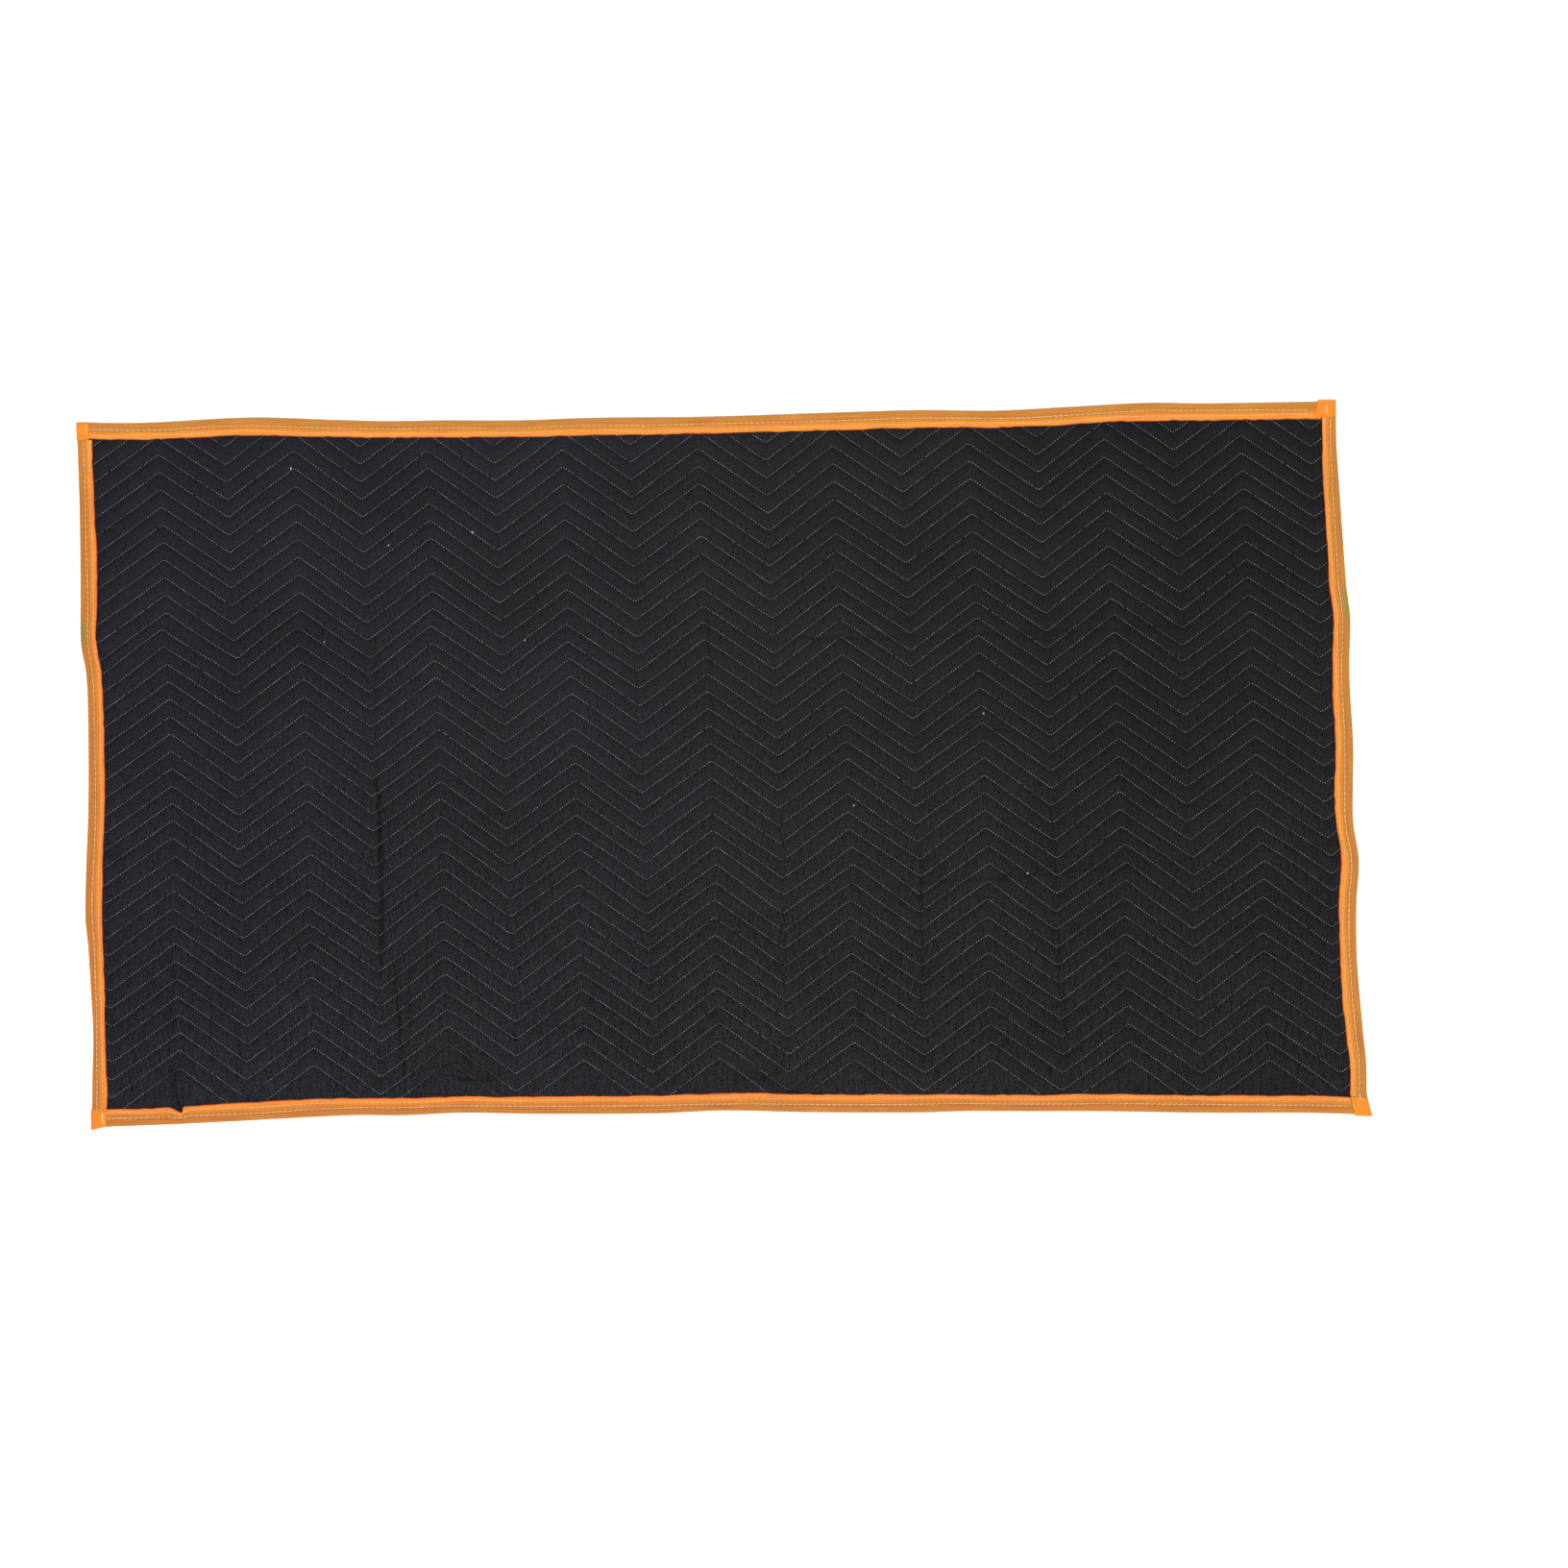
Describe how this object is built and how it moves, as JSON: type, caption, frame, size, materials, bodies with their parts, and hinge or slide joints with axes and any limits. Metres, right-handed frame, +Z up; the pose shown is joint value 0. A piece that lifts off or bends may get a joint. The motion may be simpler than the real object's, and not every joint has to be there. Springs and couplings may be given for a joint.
{
  "type": "moving pad",
  "caption": "Rectangular quilted moving pad, dark cloth with chevron stitching and a bright woven tape folded over its edges, lying flat.",
  "frame": {"origin": "centre of the pad's box, on the surface that it lies on", "axes": "+X along the pad's long side, +Y across it to the edge shown at the top, +Z up through the quilted face"},
  "size_m": [1.8314, 1.0242, 0.007],
  "materials": {
    "black_cloth": "matt woven cotton and polyester, quilted",
    "orange_tape": "woven polyester binding tape, slight sheen"
  },
  "bodies": {
    "root": {"quilted_pad": "black_cloth", "binding_top": "orange_tape", "binding_right": "orange_tape", "binding_bottom": "orange_tape", "binding_left": "orange_tape"}
  },
  "joints": []
}
